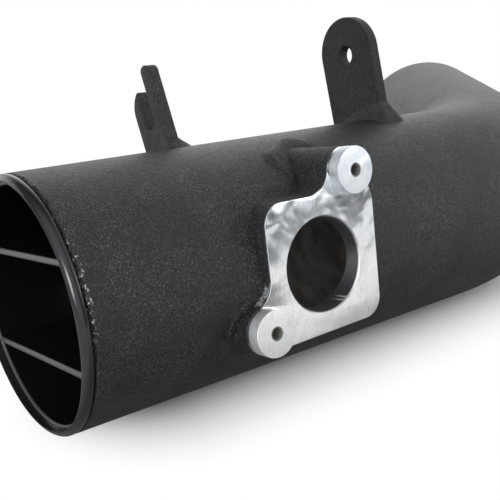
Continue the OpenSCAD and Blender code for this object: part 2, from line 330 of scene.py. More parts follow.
class Paint:
    """A node material with short calls for the nodes that this scene uses."""

    def __init__(self, name):
        self.material = bpy.data.materials.new(name)
        self.material.use_nodes = True
        self.nodes = self.material.node_tree.nodes
        self.links = self.material.node_tree.links
        self.shader = self.nodes["Principled BSDF"]
        self.place = self.nodes.new("ShaderNodeTexCoord").outputs["Object"]

    def set(self, **values):
        for name, value in values.items():
            self.shader.inputs[name.replace("_", " ")].default_value = value

    def put(self, source, socket):
        self.links.new(source, self.shader.inputs[socket])

    def feed(self, node, socket, value):
        if isinstance(value, bpy.types.NodeSocket):
            self.links.new(value, node.inputs[socket])
        else:
            node.inputs[socket].default_value = value

    def math(self, operation, a, b=0.0, clamp=False):
        node = self.nodes.new("ShaderNodeMath")
        node.operation = operation
        node.use_clamp = clamp
        self.feed(node, 0, a)
        self.feed(node, 1, b)
        return node.outputs[0]

    def stretched(self, scale, shift=(0, 0, 0)):
        """The shaded point's place, scaled by axis and shifted, for a noise of scale 1."""
        node = self.nodes.new("ShaderNodeMapping")
        self.links.new(self.place, node.inputs["Vector"])
        node.inputs["Location"].default_value = shift
        node.inputs["Scale"].default_value = scale
        return node.outputs[0]

    def noise(self, scale, detail=2.0, rough=0.5, source=None, warp=0.0):
        node = self.nodes.new("ShaderNodeTexNoise")
        self.links.new(source or self.place, node.inputs["Vector"])
        node.inputs["Scale"].default_value = scale
        node.inputs["Detail"].default_value = detail
        node.inputs["Roughness"].default_value = rough
        node.inputs["Distortion"].default_value = warp
        return node.outputs[0]

    def ramp(self, value, low, high, out_low=0.0, out_high=1.0):
        """Value stretched from low..high to out_low..out_high, smoothly and held at the ends."""
        node = self.nodes.new("ShaderNodeMapRange")
        node.interpolation_type = "SMOOTHSTEP"
        self.feed(node, "Value", value)
        node.inputs["From Min"].default_value = low
        node.inputs["From Max"].default_value = high
        node.inputs["To Min"].default_value = out_low
        node.inputs["To Max"].default_value = out_high
        return node.outputs["Result"]

    def mix(self, share, a, b):
        """The colour a, turned to b by the share."""
        node = self.nodes.new("ShaderNodeMix")
        node.data_type = "RGBA"
        self.feed(node, 0, share)
        self.feed(node, 6, a)
        self.feed(node, 7, b)
        return node.outputs[2]

    def blend(self, share, a, b):
        """The same for two numbers."""
        node = self.nodes.new("ShaderNodeMix")
        self.feed(node, 0, share)
        self.feed(node, 2, a)
        self.feed(node, 3, b)
        return node.outputs[0]

    def mix_vector(self, share, a, b):
        """The same for two normals."""
        node = self.nodes.new("ShaderNodeMix")
        node.data_type = "VECTOR"
        self.feed(node, 0, share)
        self.feed(node, 4, a)
        self.feed(node, 5, b)
        return node.outputs[1]

    def axis(self, which):
        node = self.nodes.new("ShaderNodeSeparateXYZ")
        self.links.new(self.place, node.inputs[0])
        return node.outputs[which]

    def along(self, direction):
        """How far the shaded point lies along a direction from the origin."""
        node = self.nodes.new("ShaderNodeVectorMath")
        node.operation = "DOT_PRODUCT"
        self.links.new(self.place, node.inputs[0])
        node.inputs[1].default_value = direction
        return node.outputs["Value"]

    def reach(self, x, y, centre):
        """Distance of (x, y) from centre."""
        across = self.math("SUBTRACT", x, centre.x)
        up = self.math("SUBTRACT", y, centre.y)
        squares = [self.math("MULTIPLY", way, way) for way in (across, up)]
        return self.math("SQRT", self.math("ADD", *squares))

    def vector(self, operation, a, b):
        node = self.nodes.new("ShaderNodeVectorMath")
        node.operation = operation
        self.feed(node, 0, a)
        self.feed(node, 1, b)
        return node

    def from_segment(self, start, end):
        """Distance from the straight line between two points."""
        run = Vector(end) - Vector(start)
        place = self.vector("SUBTRACT", self.place, start).outputs[0]
        share = self.vector("DOT_PRODUCT", place, run / run.length_squared).outputs["Value"]
        share = self.math("MULTIPLY", share, 1.0, clamp=True)
        foot = self.vector("SCALE", tuple(run), (0, 0, 0))
        self.feed(foot, "Scale", share)
        return self.vector("DISTANCE", place, foot.outputs[0]).outputs["Value"]

    def bump(self, height, depth, strength=1.0, under=None):
        node = self.nodes.new("ShaderNodeBump")
        node.inputs["Distance"].default_value = depth
        node.inputs["Strength"].default_value = strength
        self.links.new(height, node.inputs["Height"])
        if under is not None:
            self.links.new(under, node.inputs["Normal"])
        return node.outputs[0]


def grey(value, blue=1.0):
    return (value, value, value * blue, 1.0)


# Colours
COAT_DARK = (0.0045, 0.0043, 0.0050, 1.0)
COAT_PALE = (0.092, 0.089, 0.095, 1.0)
# Near black, mixed into the coat as painted shade
COAT_PAINTED_SHADE = grey(0.001)
COAT_SPECK = grey(0.08, 1.05)
CHIP_METAL = (0.62, 0.61, 0.60, 1.0)
INSIDE_DEPOSIT = (0.17, 0.16, 0.143, 1.0)
INSIDE_BARE = (0.34, 0.32, 0.285, 1.0)
PLASTIC = grey(0.017, 1.05)
# Painted shade for the plastic inside the sleeve
PLASTIC_SHADED_INSIDE = grey(0.006, 1.05)
PLASTIC_NOSE = grey(0.08, 0.97)
METAL_LOW = (0.90, 0.905, 0.91, 1.0)
# Painted reflection of the sky on the plate's upper part
METAL_PAINTED_SKY = (0.75, 0.80, 0.86, 1.0)
METAL_HAZED = (0.92, 0.93, 0.94, 1.0)
METAL_SCUFFED = (0.60, 0.60, 0.61, 1.0)
# Painted shade in the tapped holes and on the bore's wall
METAL_TAP_SHADE = (0.30, 0.29, 0.27, 1.0)
METAL_BORE_SHADE = (0.42, 0.42, 0.43, 1.0)

# Noises: how many waves to a metre, how many finer layers and how strong these are
GRAIN = (2000, 2.5, 0.65)
GRAIN_PATCHES = (420, 2.0, 0.5)
DRIFT = (95, 3.0, 0.6)
SPECKS = (1700, 3.0, 0.7)
CHIP_FLAKES = (900, 4.0, 0.75)
CHIP_STRETCHES = (70, 1.0)
INSIDE_GRAIN = (900, 2.0)
WELD_LUMPS = (750, 3.0, 0.6)
PLASTIC_FLOW = (60, 2.0)
PLASTIC_RIPPLE = (350, 2.0)
COAT_EDGE = (420, 3.0, 0.6)
NICK_FLAKES = (380, 3.0, 0.6)
METAL_HAZE = (120, 3.0, 0.55)
METAL_STAINS = (230, 2.0, 0.6)
METAL_SWELL = (120, 0.6)
SWELL_SHIFT = (0.4, 0.9, 0.6)
# The finer layers of the stretched noises, and their waves to a metre along X, Y and Z
STREAKY = (3.0, 0.6)
RUBBED = (3.0, 0.7)
INSIDE_STREAKS = (160, 90, 90)
METAL_RUBS = (1100, 420, 420)
MILLING_MARKS = (1500, 260, 260)

# How deep the bumps are
GRAIN_DEPTH = 0.00042
INSIDE_DEPTH = 0.0001
LUMP_DEPTH = 0.0004
RIPPLE_DEPTH = 0.00006
SWELL_DEPTH = 0.0011
MILLING_DEPTH = 0.00006

# How rough each surface is
COAT_ROUGH = 0.40
INSIDE_ROUGH = 0.5
PLASTIC_ROUGH = 0.13
NOSE_ROUGH = 0.36
METAL_ROUGH = 0.12
# What is added where the coat is patchy, speckled and darkened as painted shade, or a shaded copy,
# where the plastic has flowed, and where the metal is hazed, in a hole or on a boss
PATCHES_ROUGHER = 0.16
SPECKLED_ROUGHER = 0.12
SHADED_COPY_ROUGHER = 0.16
FLOW_ROUGHER = 0.10
HAZE_ROUGHER = 0.16
HOLE_ROUGHER = 0.26
BOSS_ROUGHER = 0.36


def coat_layers(paint, grain=1.0):
    """Colour, roughness and normal of the black textured powder coat."""
    fine = paint.noise(*GRAIN)
    patches = paint.noise(*GRAIN_PATCHES)
    speck = paint.ramp(fine, 0.46, 0.70)
    colour = paint.mix(speck, COAT_DARK, COAT_PALE)
    drift = paint.ramp(paint.noise(*DRIFT), 0.40, 0.62, 0, 0.5)
    colour = paint.mix(drift, colour, COAT_DARK)
    rough = paint.math("ADD", COAT_ROUGH, paint.math("MULTIPLY", patches, PATCHES_ROUGHER))
    height = paint.math("ADD", fine, paint.math("MULTIPLY", patches, 0.35))
    normal = paint.bump(height, GRAIN_DEPTH * grain)
    return colour, rough, normal


def shaded_and_speckled(paint, colour):
    """The coat darkened towards near black, painted shade for the flange's sides and welds in the
    corner by the duct, with pale specks.
    """
    specks = paint.ramp(paint.noise(*SPECKS), 0.52, 0.68)
    return paint.mix(specks, paint.mix(0.7, colour, COAT_PAINTED_SHADE), COAT_SPECK)


def make_coat(name, unshaded):
    """Unshaded is how much paler and smoother the coat is than its darker, rougher copy at 0; below
    1 the coat is partly that darker copy, painted shade over the whole piece.
    """
    paint = Paint(name)
    colour, rough, normal = coat_layers(paint, 1.9 - 0.9 * unshaded)
    paint.put(paint.mix(unshaded, COAT_DARK, colour), "Base Color")
    paint.put(paint.math("ADD", rough, SHADED_COPY_ROUGHER * (1 - unshaded)), "Roughness")
    paint.put(normal, "Normal")
    return paint.material


def make_duct_coat():
    """The same coat, chipped to bare metal here and there along the edge at the collar."""
    paint = Paint("duct_coat")
    colour, rough, normal = coat_layers(paint)
    at_edge = paint.ramp(paint.axis(0), COLLAR_L + 1.5 * MM, COLLAR_L + 2.2 * MM, 1, 0)
    upper = paint.ramp(paint.axis(2), -4 * MM, 3 * MM)
    chip = paint.math("MULTIPLY", at_edge, paint.ramp(paint.noise(*CHIP_FLAKES), 0.56, 0.61))
    chip = paint.math("MULTIPLY", chip, upper)
    chip = paint.math("MULTIPLY", chip, paint.ramp(paint.noise(*CHIP_STRETCHES), 0.46, 0.54))
    paint.put(paint.mix(chip, colour, CHIP_METAL), "Base Color")
    paint.put(chip, "Metallic")
    paint.put(rough, "Roughness")
    paint.put(normal, "Normal")
    return paint.material


def make_duct_inside():
    """Black overspray near the mouth that fades to dull bare metal deeper in."""
    paint = Paint("duct_inside")
    streaks = paint.noise(1.0, *STREAKY, source=paint.stretched(INSIDE_STREAKS))
    depth = paint.ramp(paint.axis(0), 62 * MM, 96 * MM)
    deep = paint.mix(paint.ramp(streaks, 0.30, 0.74), INSIDE_DEPOSIT, INSIDE_BARE)
    paint.put(paint.mix(depth, COAT_DARK, deep), "Base Color")
    paint.put(paint.math("MULTIPLY", depth, 0.35), "Metallic")
    paint.set(Roughness=INSIDE_ROUGH)
    paint.put(paint.bump(paint.noise(*INSIDE_GRAIN), INSIDE_DEPTH, 0.4), "Normal")
    return paint.material


def make_weld_coat():
    """The coat over the welds: lumpy, and on the flange's lower part darkened as painted shade and
    speckled.
    """
    paint = Paint("coated_weld")
    colour, rough, normal = coat_layers(paint, 1.2)
    # Painted shade: the bead is darker lower down the flange.
    low = paint.ramp(paint.along(FLANGE_V), 8 * MM, 17 * MM, 1, 0.2)
    paint.put(paint.mix(low, colour, shaded_and_speckled(paint, colour)), "Base Color")
    paint.put(paint.math("ADD", rough, paint.math("MULTIPLY", low, SPECKLED_ROUGHER)), "Roughness")
    paint.put(paint.bump(paint.noise(*WELD_LUMPS), LUMP_DEPTH, 0.7, normal), "Normal")
    return paint.material


def make_plastic():
    """Glossy on the collar, and darker in the sleeve as painted shade. The blades' front edges are
    dull.
    """
    paint = Paint("moulded_plastic")
    reach = paint.reach(paint.axis(1), paint.axis(2), Vector((0, 0)))
    inside = paint.ramp(reach, TUBE_R - 2.6 * MM, TUBE_R - 2.2 * MM, 1, 0)
    nose_x = BLADE_SET_BACK + 0.55 * MM
    front = paint.ramp(paint.axis(0), nose_x, nose_x + 0.4 * MM, 1, 0)
    nose = paint.math("MULTIPLY", inside, front)
    # Painted shade: the plastic inside the sleeve is darker.
    colour = paint.mix(inside, PLASTIC, PLASTIC_SHADED_INSIDE)
    paint.put(paint.mix(nose, colour, PLASTIC_NOSE), "Base Color")
    flow = paint.math("MULTIPLY", paint.noise(*PLASTIC_FLOW), FLOW_ROUGHER)
    rough = paint.math("ADD", PLASTIC_ROUGH, flow)
    paint.put(paint.blend(nose, rough, NOSE_ROUGH), "Roughness")
    paint.put(paint.bump(paint.noise(*PLASTIC_RIPPLE), RIPPLE_DEPTH, 0.3), "Normal")
    return paint.material


def flange_bare(paint, out, side, up):
    """Where the flange is bare: over a ragged edge of coat, by its holes and at the nick."""
    ragged = paint.math("MULTIPLY", paint.noise(*COAT_EDGE), 0.5 * MM)
    over = paint.math("SUBTRACT", out, PLATE_FACE - RIM_BEVEL - 0.2 * MM)
    bare = paint.ramp(paint.math("ADD", over, ragged), 0.20 * MM, 0.26 * MM)
    holes = ((Vector((0, 0)), BORE_R + 1.2 * MM), (boss_up, 3.5 * MM), (boss_down, 3.5 * MM))
    for centre, reach in holes:
        inside = paint.ramp(paint.reach(side, up, centre), reach, reach + 0.1 * MM, 1, 0)
        bare = paint.math("MAXIMUM", bare, inside)
    near_nick = paint.ramp(paint.reach(side, up, NICK), 1.5 * MM, 4.5 * MM, 1, 0)
    flakes = paint.ramp(paint.noise(*NICK_FLAKES), 0.42, 0.64)
    return paint.math("MAXIMUM", bare, paint.math("MULTIPLY", near_nick, flakes))


def metal_colour(paint, haze, up, tap_shade_mask, bore_shade_mask):
    """Milled aluminium: bluer higher up as a painted reflection of the sky, hazed, scuffed and
    stained, and dark in its holes as painted shade.
    """
    # Painted reflection: the plate turns bluer higher up, where it mirrors the sky.
    high = paint.ramp(up, -6 * MM, 14 * MM)
    metal = paint.mix(haze, paint.mix(high, METAL_LOW, METAL_PAINTED_SKY), METAL_HAZED)
    rubs = paint.noise(1.0, *RUBBED, source=paint.stretched(METAL_RUBS))
    scuffs = paint.ramp(rubs, 0.50, 0.72, 0, 0.5)
    stains = paint.ramp(paint.noise(*METAL_STAINS, warp=0.8), 0.50, 0.68, 0, 0.14)
    metal = paint.mix(paint.math("MAXIMUM", scuffs, stains), metal, METAL_SCUFFED)
    # Painted shade: darker metal in the tapped holes and on the bore's wall.
    return paint.mix(bore_shade_mask, paint.mix(tap_shade_mask, metal, METAL_TAP_SHADE), METAL_BORE_SHADE)


def metal_normal(paint, up):
    """Slow waves, calmer lower down, under the milling marks."""
    place = paint.stretched((1, 1, 1), SWELL_SHIFT)
    calm = paint.ramp(up, -2 * MM, 9 * MM, 0.3, 1)
    swell = paint.math("MULTIPLY", paint.noise(*METAL_SWELL, source=place, warp=0.7), calm)
    waves = paint.bump(swell, SWELL_DEPTH, 0.65)
    marks = paint.noise(1.0, *STREAKY, source=paint.stretched(MILLING_MARKS))
    return paint.bump(marks, MILLING_DEPTH, 0.4, waves)


def make_aluminium():
    """Bare milled faces. The powder coat covers the sides below the plate's face."""
    paint = Paint("machined_aluminium")
    coat_colour, coat_rough, coat_normal = coat_layers(paint, 1.3)
    # The painted sides are darkened as painted shade, and speckled.
    coat_colour = shaded_and_speckled(paint, coat_colour)
    coat_rough = paint.math("ADD", coat_rough, SPECKLED_ROUGHER)
    out = paint.along(FLANGE_W)
    up = paint.along(FLANGE_V)
    side = paint.math("SUBTRACT", paint.axis(0), flange_origin.x)
    bare = flange_bare(paint, out, side, up)
    # The tapped holes and the bore, where the metal is painted darker as shade and is rougher
    taps = [paint.ramp(paint.reach(side, up, centre), THREAD_R, THREAD_R + 0.25 * MM, 1, 0)
            for centre in (boss_up, boss_down)]
    tap_shade_mask = paint.math("MAXIMUM", *taps)
    from_bore = paint.reach(side, up, Vector((0, 0)))
    bore_shade_mask = paint.ramp(from_bore, BORE_R + 0.1 * MM, BORE_R + 0.3 * MM, 1, 0)
    haze = paint.noise(*METAL_HAZE, warp=0.6)
    metal = metal_colour(paint, haze, up, tap_shade_mask, bore_shade_mask)
    rough = paint.math("ADD", paint.math("MULTIPLY", haze, HAZE_ROUGHER), METAL_ROUGH)
    in_hole = paint.math("MAXIMUM", tap_shade_mask, bore_shade_mask)
    rough = paint.math("ADD", rough, paint.math("MULTIPLY", in_hole, HOLE_ROUGHER))
    on_boss = paint.ramp(out, PLATE_FACE + 0.3 * MM, PLATE_FACE + 0.8 * MM, 0, BOSS_ROUGHER)
    rough = paint.math("ADD", rough, on_boss)
    paint.put(paint.mix(bare, coat_colour, metal), "Base Color")
    paint.put(bare, "Metallic")
    paint.put(paint.blend(bare, coat_rough, rough), "Roughness")
    paint.put(paint.mix_vector(bare, coat_normal, metal_normal(paint, up)), "Normal")
    return paint.material


# The duct


def worn_edge(p):
    """How far the tube's cut edge is worn back at p, on the upper part of the flange's side."""
    if p.y > 0:
        return 0.0
    share = clamped((p.z + 6 * MM) / (6 * MM))
    nibbles = noise.noise(p * 420) + 0.7 * noise.noise(p * 1500)
    return share * MM * max(0.0, nibbles + 0.28)


def build_duct():
    """One closed wall from the mouth, round the bend and back inside."""
    around = 256
    run_rows, bend_rows, leg_rows = 30, 44, 16
    cut = COLLAR_L + COLLAR_GAP
    marks = [cut + CUT_ROUND + i * 0.6 * MM for i in range(1, 8)]
    marks += [STRAIGHT_L * i / run_rows for i in range(2, run_rows + 1)]
    marks += [STRAIGHT_L + BEND_L * i / bend_rows for i in range(1, bend_rows + 1)]
    marks += [DUCT_L - LEG_L + LEG_L * i / leg_rows for i in range(1, leg_rows)]
    rounding = (0, 0.5, 1.0, math.pi / 2)
    far_cut = [(DUCT_L - CUT_ROUND * (1 - math.sin(a)), TUBE_R - CUT_ROUND * (1 - math.cos(a)))
               for a in rounding]
    lip = [(cut + CUT_ROUND * (1 - math.cos(a)), TUBE_R - CUT_ROUND * (1 - math.sin(a)))
           for a in rounding]
    loop = lip + [(s, TUBE_R) for s in marks] + far_cut
    outer = len(loop)
    loop += [(DUCT_L, DUCT_R)] + [(s, DUCT_R) for s in reversed(marks)] + [(COLLAR_L, DUCT_R)]
    rings = [duct_ring(s, r, around) for s, r in loop]
    for ring in rings[:len(lip)]:
        for p in ring:
            p.x += worn_edge(p)
    obj = loft("duct", rings, closed=True)
    obj.data.materials.append(duct_coat)
    obj.data.materials.append(duct_inside)
    for face in obj.data.polygons:
        if outer <= face.index // around < len(loop) - 1:
            face.material_index = 1
    carve(obj, flange_cylinder("neck_hole", BORE_R + NECK_WALL + FIT_GAP, TUBE_R * 0.5, PLATE_FACE))
    finish_piece(obj, "intake_tube", 35)


# The sensor flange, in its own frame: u along the duct, v up the plate, w out of it

bore = mounts["sensor_bore"]
FLANGE_W = Vector(bore["axis"])
FLANGE_U = Vector((1, 0, 0))
FLANGE_V = FLANGE_W.cross(FLANGE_U)
flange_origin = Vector((bore["pos_m"][0], 0, 0))
flange_place = columns(FLANGE_U, FLANGE_V, FLANGE_W, flange_origin)


def boss_at(name):
    d = Vector(mounts[name]["pos_m"]) - flange_origin
    return Vector((d.dot(FLANGE_U), d.dot(FLANGE_V)))


boss_up = boss_at("sensor_screw_upper")
boss_down = boss_at("sensor_screw_lower")
# The chipped spot between the plate and the lower boss
NICK = Vector((-PLATE_NEAR - 1.5 * MM, -4.5 * MM))

# The holed tab gets a darker, rougher copy of the coat as painted shade; the slotted tab gets the
# plain coat.
holed_coat_painted_shade = make_coat("powder_coat", 0.45)
slotted_coat = make_coat("plain_coat", 1.0)
duct_coat = make_duct_coat()
duct_inside = make_duct_inside()
weld_coat = make_weld_coat()
plastic = make_plastic()
aluminium = make_aluminium()


def flange_ring(r, w, n=128, centre=Vector((0, 0))):
    """Ring in the flange's own frame, at w above the duct's axis."""
    return [flange_place @ Vector((centre.x + r * math.cos(a), centre.y + r * math.sin(a), w))
            for a in turns(n)]


def flange_cylinder(name, r, low, high):
    return loft(name, [flange_ring(r, w) for w in (low, high)])


def flange_outline():
    """The plate with both bosses, clockwise from its upper near corner."""
    corner_up = Vector((-PLATE_NEAR + CORNER_R, PLATE_UP - CORNER_R))
    corner_down = Vector((PLATE_FAR - CORNER_R, -PLATE_DOWN + CORNER_R))
    corner_side = Vector((PLATE_FAR - SIDE_CORNER_R, PLATE_UP - SIDE_CORNER_R))
    reach = WEB_R + BOSS_R
    web_up = Vector((boss_up.x - math.sqrt(reach**2 - (PLATE_UP + WEB_R - boss_up.y) ** 2),
                     PLATE_UP + WEB_R))
    web_near = Vector((-PLATE_NEAR - WEB_R,
                       boss_down.y + math.sqrt(reach**2 - (PLATE_NEAR + WEB_R + boss_down.x) ** 2)))
    side = touch_heading(boss_up, BOSS_R, corner_side, SIDE_CORNER_R)
    down = touch_heading(corner_down, CORNER_R, boss_down, BOSS_R)
    up_turn = heading(web_up - boss_up)
    near_turn = heading(web_near - boss_down)
    if up_turn < side:
        up_turn += 360
    while near_turn > down:
        near_turn -= 360
    return (arc(corner_up, CORNER_R, 180, 90, 16)
            + arc(web_up, WEB_R, -90, heading(boss_up - web_up), 16)
            + arc(boss_up, BOSS_R, up_turn, side, 36)[1:]
            + arc(corner_side, SIDE_CORNER_R, side, 0, 8)
            + arc(corner_down, CORNER_R, 0, down, 20)
            + arc(boss_down, BOSS_R, down, near_turn, 40)
            + arc(web_near, WEB_R, heading(boss_down - web_near), 0, 16)[1:])


def threaded_cutter(centre, depth):
    """A screw thread's inside, with a chamfer at the mouth."""
    around = 48
    top = PLATE_FACE + BOSS_H
    step = THREAD_PITCH / 8
    count = int((depth - TAP_CHAMFER) / step)
    rings = []
    for i in range(count):
        w = top - depth + i * step
        ring = []
        for a in turns(around):
            wave = abs(2 * ((w / THREAD_PITCH - a / (2 * math.pi)) % 1) - 1)
            started = min(1.0, (top - w) / (1.5 * THREAD_PITCH))
            r = CORE_R + (THREAD_R - CORE_R) * wave * started
            across, up = centre.x + r * math.cos(a), centre.y + r * math.sin(a)
            ring.append(flange_place @ Vector((across, up, w)))
        rings.append(ring)
    for r, w in ((CORE_R, top - TAP_CHAMFER), (CORE_R + TAP_CHAMFER * 1.5, top + TAP_CHAMFER / 2)):
        rings.append(flange_ring(r, w, around, centre))
    return loft("thread", rings)


def build_flange():
    """The plate and both bosses on a foot that follows the duct, with a neck into its hole."""
    low = TUBE_R * 0.3
    obj = prism("flange", [flange_outline()], low, PLATE_FACE, RIM_BEVEL, flange_place)
    for centre in (boss_up, boss_down):
        rim = circle(centre, BOSS_R + BOSS_PROUD, 96)
        boss = prism("boss", [rim], low + MM, PLATE_FACE + BOSS_H, RIM_BEVEL * 0.7, flange_place)
        carve(obj, boss, "UNION")
    carve(obj, cylinder_along_x("saddle", TUBE_R + FIT_GAP, 0, STRAIGHT_L))
    neck = flange_cylinder("neck", BORE_R + NECK_WALL, TUBE_R * 0.5, PLATE_FACE - MM)
    carve(neck, cylinder_along_x("neck_end", DUCT_R, 0, STRAIGHT_L))
    carve(obj, neck, "UNION")
    carve(obj, flange_cylinder("bore", BORE_R, 0, PLATE_FACE + 2 * MM))
    chamfer_low = flange_ring(BORE_R - MM, PLATE_FACE - BORE_CHAMFER - MM)
    chamfer_high = flange_ring(BORE_R + BORE_CHAMFER * 2, PLATE_FACE + BORE_CHAMFER)
    carve(obj, loft("bore_chamfer", [chamfer_low, chamfer_high]))
    for centre in (boss_up, boss_down):
        carve(obj, threaded_cutter(centre, TAP_L))
    obj.data.materials.clear()
    obj.data.materials.append(aluminium)
    finish_piece(obj, "sensor_flange", 25)


# Welds


def resampled(points, step):
    """Points evenly spaced along a closed outline."""
    count = len(points)
    lengths = [(points[(i + 1) % count] - points[i]).length for i in range(count)]
    total = sum(lengths)
    n = max(8, int(total / step))
    out = []
    i = 0
    run = 0.0
    for k in range(n):
        target = total * k / n
        while run + lengths[i] < target:
            run += lengths[i]
            i += 1
        share = (target - run) / lengths[i] if lengths[i] else 0
        out.append(points[i].lerp(points[(i + 1) % count], share))
    return out, total


# How far a bead stays off the metal, and how far its back lies under the wall
BEAD_GAP = 0.02 * MM
BEAD_UNDER = 0.3 * MM
# The mesh's steps along a bead and across it, and how high its lumps are
BEAD_STEP = 0.3 * MM
BEAD_CROSS = 14
BEAD_LUMPS = 0.10 * MM
# The length of one ripple
FLANGE_RIPPLE = 1.9 * MM
TAB_RIPPLE = 1.7 * MM


def on_skin(q):
    """The point of the duct's skin over (x, y) of a plan."""
    return Vector((q.x, q.y, math.sqrt(max(TUBE_R**2 - q.y**2, 0))))


def lump_at(q):
    """Uneven height of a bead at a point of its plan."""
    coarse = noise.noise(Vector((q.x, q.y, 0.01)) * 620)
    return coarse + 0.5 * noise.noise(Vector((q.x, q.y, 0)) * 1500)


def bead(name, foot, place, size_at, ripple):
    """A weld all round the foot of a wall that stands on the duct.

    The foot is an outline in the wall's own plan, and place takes (along, across, out) to
    the part's frame. size_at(point, side) gives the leg on the skin, the height up the wall,
    the height of the crest between them, the depth of the ripples and how gently the
    crest runs out on the skin.
    """
    foot, total = resampled(foot, BEAD_STEP)
    n = len(foot)
    area = sum(foot[i].x * foot[(i + 1) % n].y - foot[(i + 1) % n].x * foot[i].y for i in range(n))
    outwards = 1 if area > 0 else -1
    rings = []
    for i, p in enumerate(foot):
        along = (foot[(i + 2) % n] - foot[i - 2]).normalized()
        side = Vector((along.y, -along.x)) * outwards
        s = total * i / n
        leg, rise, crest, depth, ease = size_at(p, side)
        leg *= 1 + 0.10 * noise.noise(Vector((p.x, p.y, 0)) * 260)
        climb = Vector((0, 0, max(rise, BEAD_GAP)))
        ring = []
        for k in range(BEAD_CROSS + 1):
            t = k / BEAD_CROSS
            bow = s / ripple - 0.9 * (1 - t) ** 2
            wave = 0.5 - abs(2 * (bow % 1) - 1) ** 1.5
            q = p + side * leg * t
            bulge = max(0.0, math.sin(math.pi * t**1.6)) ** ease
            h = crest * bulge + depth * wave * math.sin(math.pi * t)
            h += BEAD_LUMPS * lump_at(q) * min(1, 3 * (1 - t))
            root = on_skin(q)
            normal = Vector((0, root.y, root.z)).normalized()
            lift = normal * max(h * min(1, 6 * t), BEAD_GAP)
            ring.append(place @ (root + climb * (1 - t) ** 1.25 + lift))
        floor = on_skin(p - side * BEAD_UNDER) + Vector((0, 0, BEAD_GAP))
        ring += [place @ floor, place @ (floor + climb)]
        rings.append(ring)
    obj = loft(name, rings, closed=True)
    obj.data.materials.append(weld_coat)
    return obj


def near(p, centre, full, reach):
    """1 up to the distance full from the centre and 0 beyond reach, smoothly between."""
    t = clamped((reach - (p - centre).length) / (reach - full))
    return t * t * (3 - 2 * t)


# The flange's bead: its leg on the skin by the plate, what its rippled stretch adds, and
# its leg by the lower boss, all in mm
PLATE_LEG = 4.2
RIPPLED_LEG = 0.8
LOWER_LEG = 2.2
# Round the upper boss: its least leg, what the tail and the far side add, in mm, and the
# tail's heading and how fast the tail narrows on either side, in degrees
UPPER_LEG = 2.5
TAIL_LEG = 4.9
FAR_SIDE_LEG = 1.9
TAIL_TURN = 157.0
TAIL_ABOVE = 20.0
TAIL_BELOW = 15.0


def build_flange_bead():
    """The weld round the flange, widest in a tail from the upper boss along the duct."""
    rippled = Vector((-12 * MM, PLATE_UP))

    def mound_at(turn):
        """Leg of the bead round the upper boss, in mm, by the heading round the boss."""
        width = TAIL_ABOVE if turn < TAIL_TURN else TAIL_BELOW
        tail = math.exp(-(((turn - TAIL_TURN) / width) ** 2))
        far_side = clamped((95 - turn) / 45)
        return UPPER_LEG + TAIL_LEG * tail + FAR_SIDE_LEG * far_side

    def size_at(p, side):
        turn = heading(p - boss_up) % 360
        if turn > 300:
            turn -= 360
        up = near(p, boss_up, 8.0 * MM, 12 * MM)
        down = near(p, boss_down, 7.5 * MM, 12 * MM)
        webbed = near(p, rippled, 3 * MM, 11 * MM)
        over = up * clamped((178 - turn) / 28)
        by_plate = (PLATE_LEG + RIPPLED_LEG * webbed) * (1 - up) * (1 - down)
        leg = (by_plate + mound_at(turn) * up + LOWER_LEG * down) * MM
        rise = (1.1 - 0.6 * up - 0.4 * down) * MM
        crest = (0.30 + 0.95 * over) * MM
        depth = (0.03 + 0.20 * webbed) * MM
        ease = 0.7 + 1.1 * up * clamped((turn - 145) / 14)
        return leg, rise, crest, depth, ease

    obj = bead("flange_bead", flange_outline(), flange_place, size_at, FLANGE_RIPPLE)
    finish_piece(obj, "flange_weld", 60)


# The tabs stand on the duct, turned about it from upright


def duct_turn(turn):
    return Matrix.Rotation(-turn, 4, "X")


def tab_place(x, turn):
    """Local x across the strap, towards +Y, local y up it and local z along the duct."""
    return duct_turn(turn) @ columns((0, 1, 0), (0, 0, 1), (1, 0, 0), (x, 0, 0))


def foot_place(x, turn):
    """Local x along the duct, local y across the strap and local z up it."""
    return duct_turn(turn) @ columns((1, 0, 0), (0, 1, 0), (0, 0, 1), (x, 0, 0))


HOLED_X = mounts["tab_hole"]["pos_m"][0] - TAB_T / 2
hole = Vector(mounts["tab_hole"]["pos_m"])
HOLE_H = math.hypot(hole.y, hole.z)
SLOTTED_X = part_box("slotted_tab")[0][0]


def build_tab(name, outlines, place, coat, node):
    """A strap of this outline whose foot follows the duct's skin."""
    obj = prism(name, outlines, 0, TAB_T, EDGE_ROUND, place)
    carve(obj, cylinder_along_x("foot", TUBE_R, 0, STRAIGHT_L))
    obj.data.materials.clear()
    obj.data.materials.append(coat)
    finish_piece(obj, node)


def build_holed_tab():
    half = HOLED_W / 2
    top = TUBE_R + HOLED_H - half
    outline = [Vector((-half, TAB_LOW)), Vector((half, TAB_LOW))]
    outline += arc((0, top), half, 0, 180, 64)
    build_tab("holed_strap", [outline, circle((0, HOLE_H), HOLE_R, 48)],
              tab_place(HOLED_X, HOLED_TURN), holed_coat_painted_shade, "holed_tab")


def build_slotted_tab():
    half = SLOTTED_W / 2
    slot_x = FINGER_W - half
    tip = FINGER_W / 2
    slot_r = SLOT_W / 2
    round_y = TUBE_R + ROUND_TOP_H - half
    slot_y = TUBE_R + SLOT_BOTTOM_H + slot_r
    finger_y = TUBE_R + FINGER_H - tip
    wall_x = slot_x + SLOT_W
    wall_top = round_y + math.sqrt(half**2 - wall_x**2)
    start = math.degrees(math.acos(wall_x / half))
    outline = [Vector((-half, TAB_LOW)), Vector((half, TAB_LOW))]
    outline += arc((0, round_y), half, 0, start, 20)
    outline += arc((slot_x + slot_r, slot_y), slot_r, 0, -180, 24)
    outline += arc((tip - half, finger_y), tip, 0, 180, 24)
    if wall_top < slot_y:
        raise ValueError("the slot is deeper than its wall")
    build_tab("slotted_strap", [outline], tab_place(SLOTTED_X, SLOTTED_TURN), slotted_coat,
              "slotted_tab")


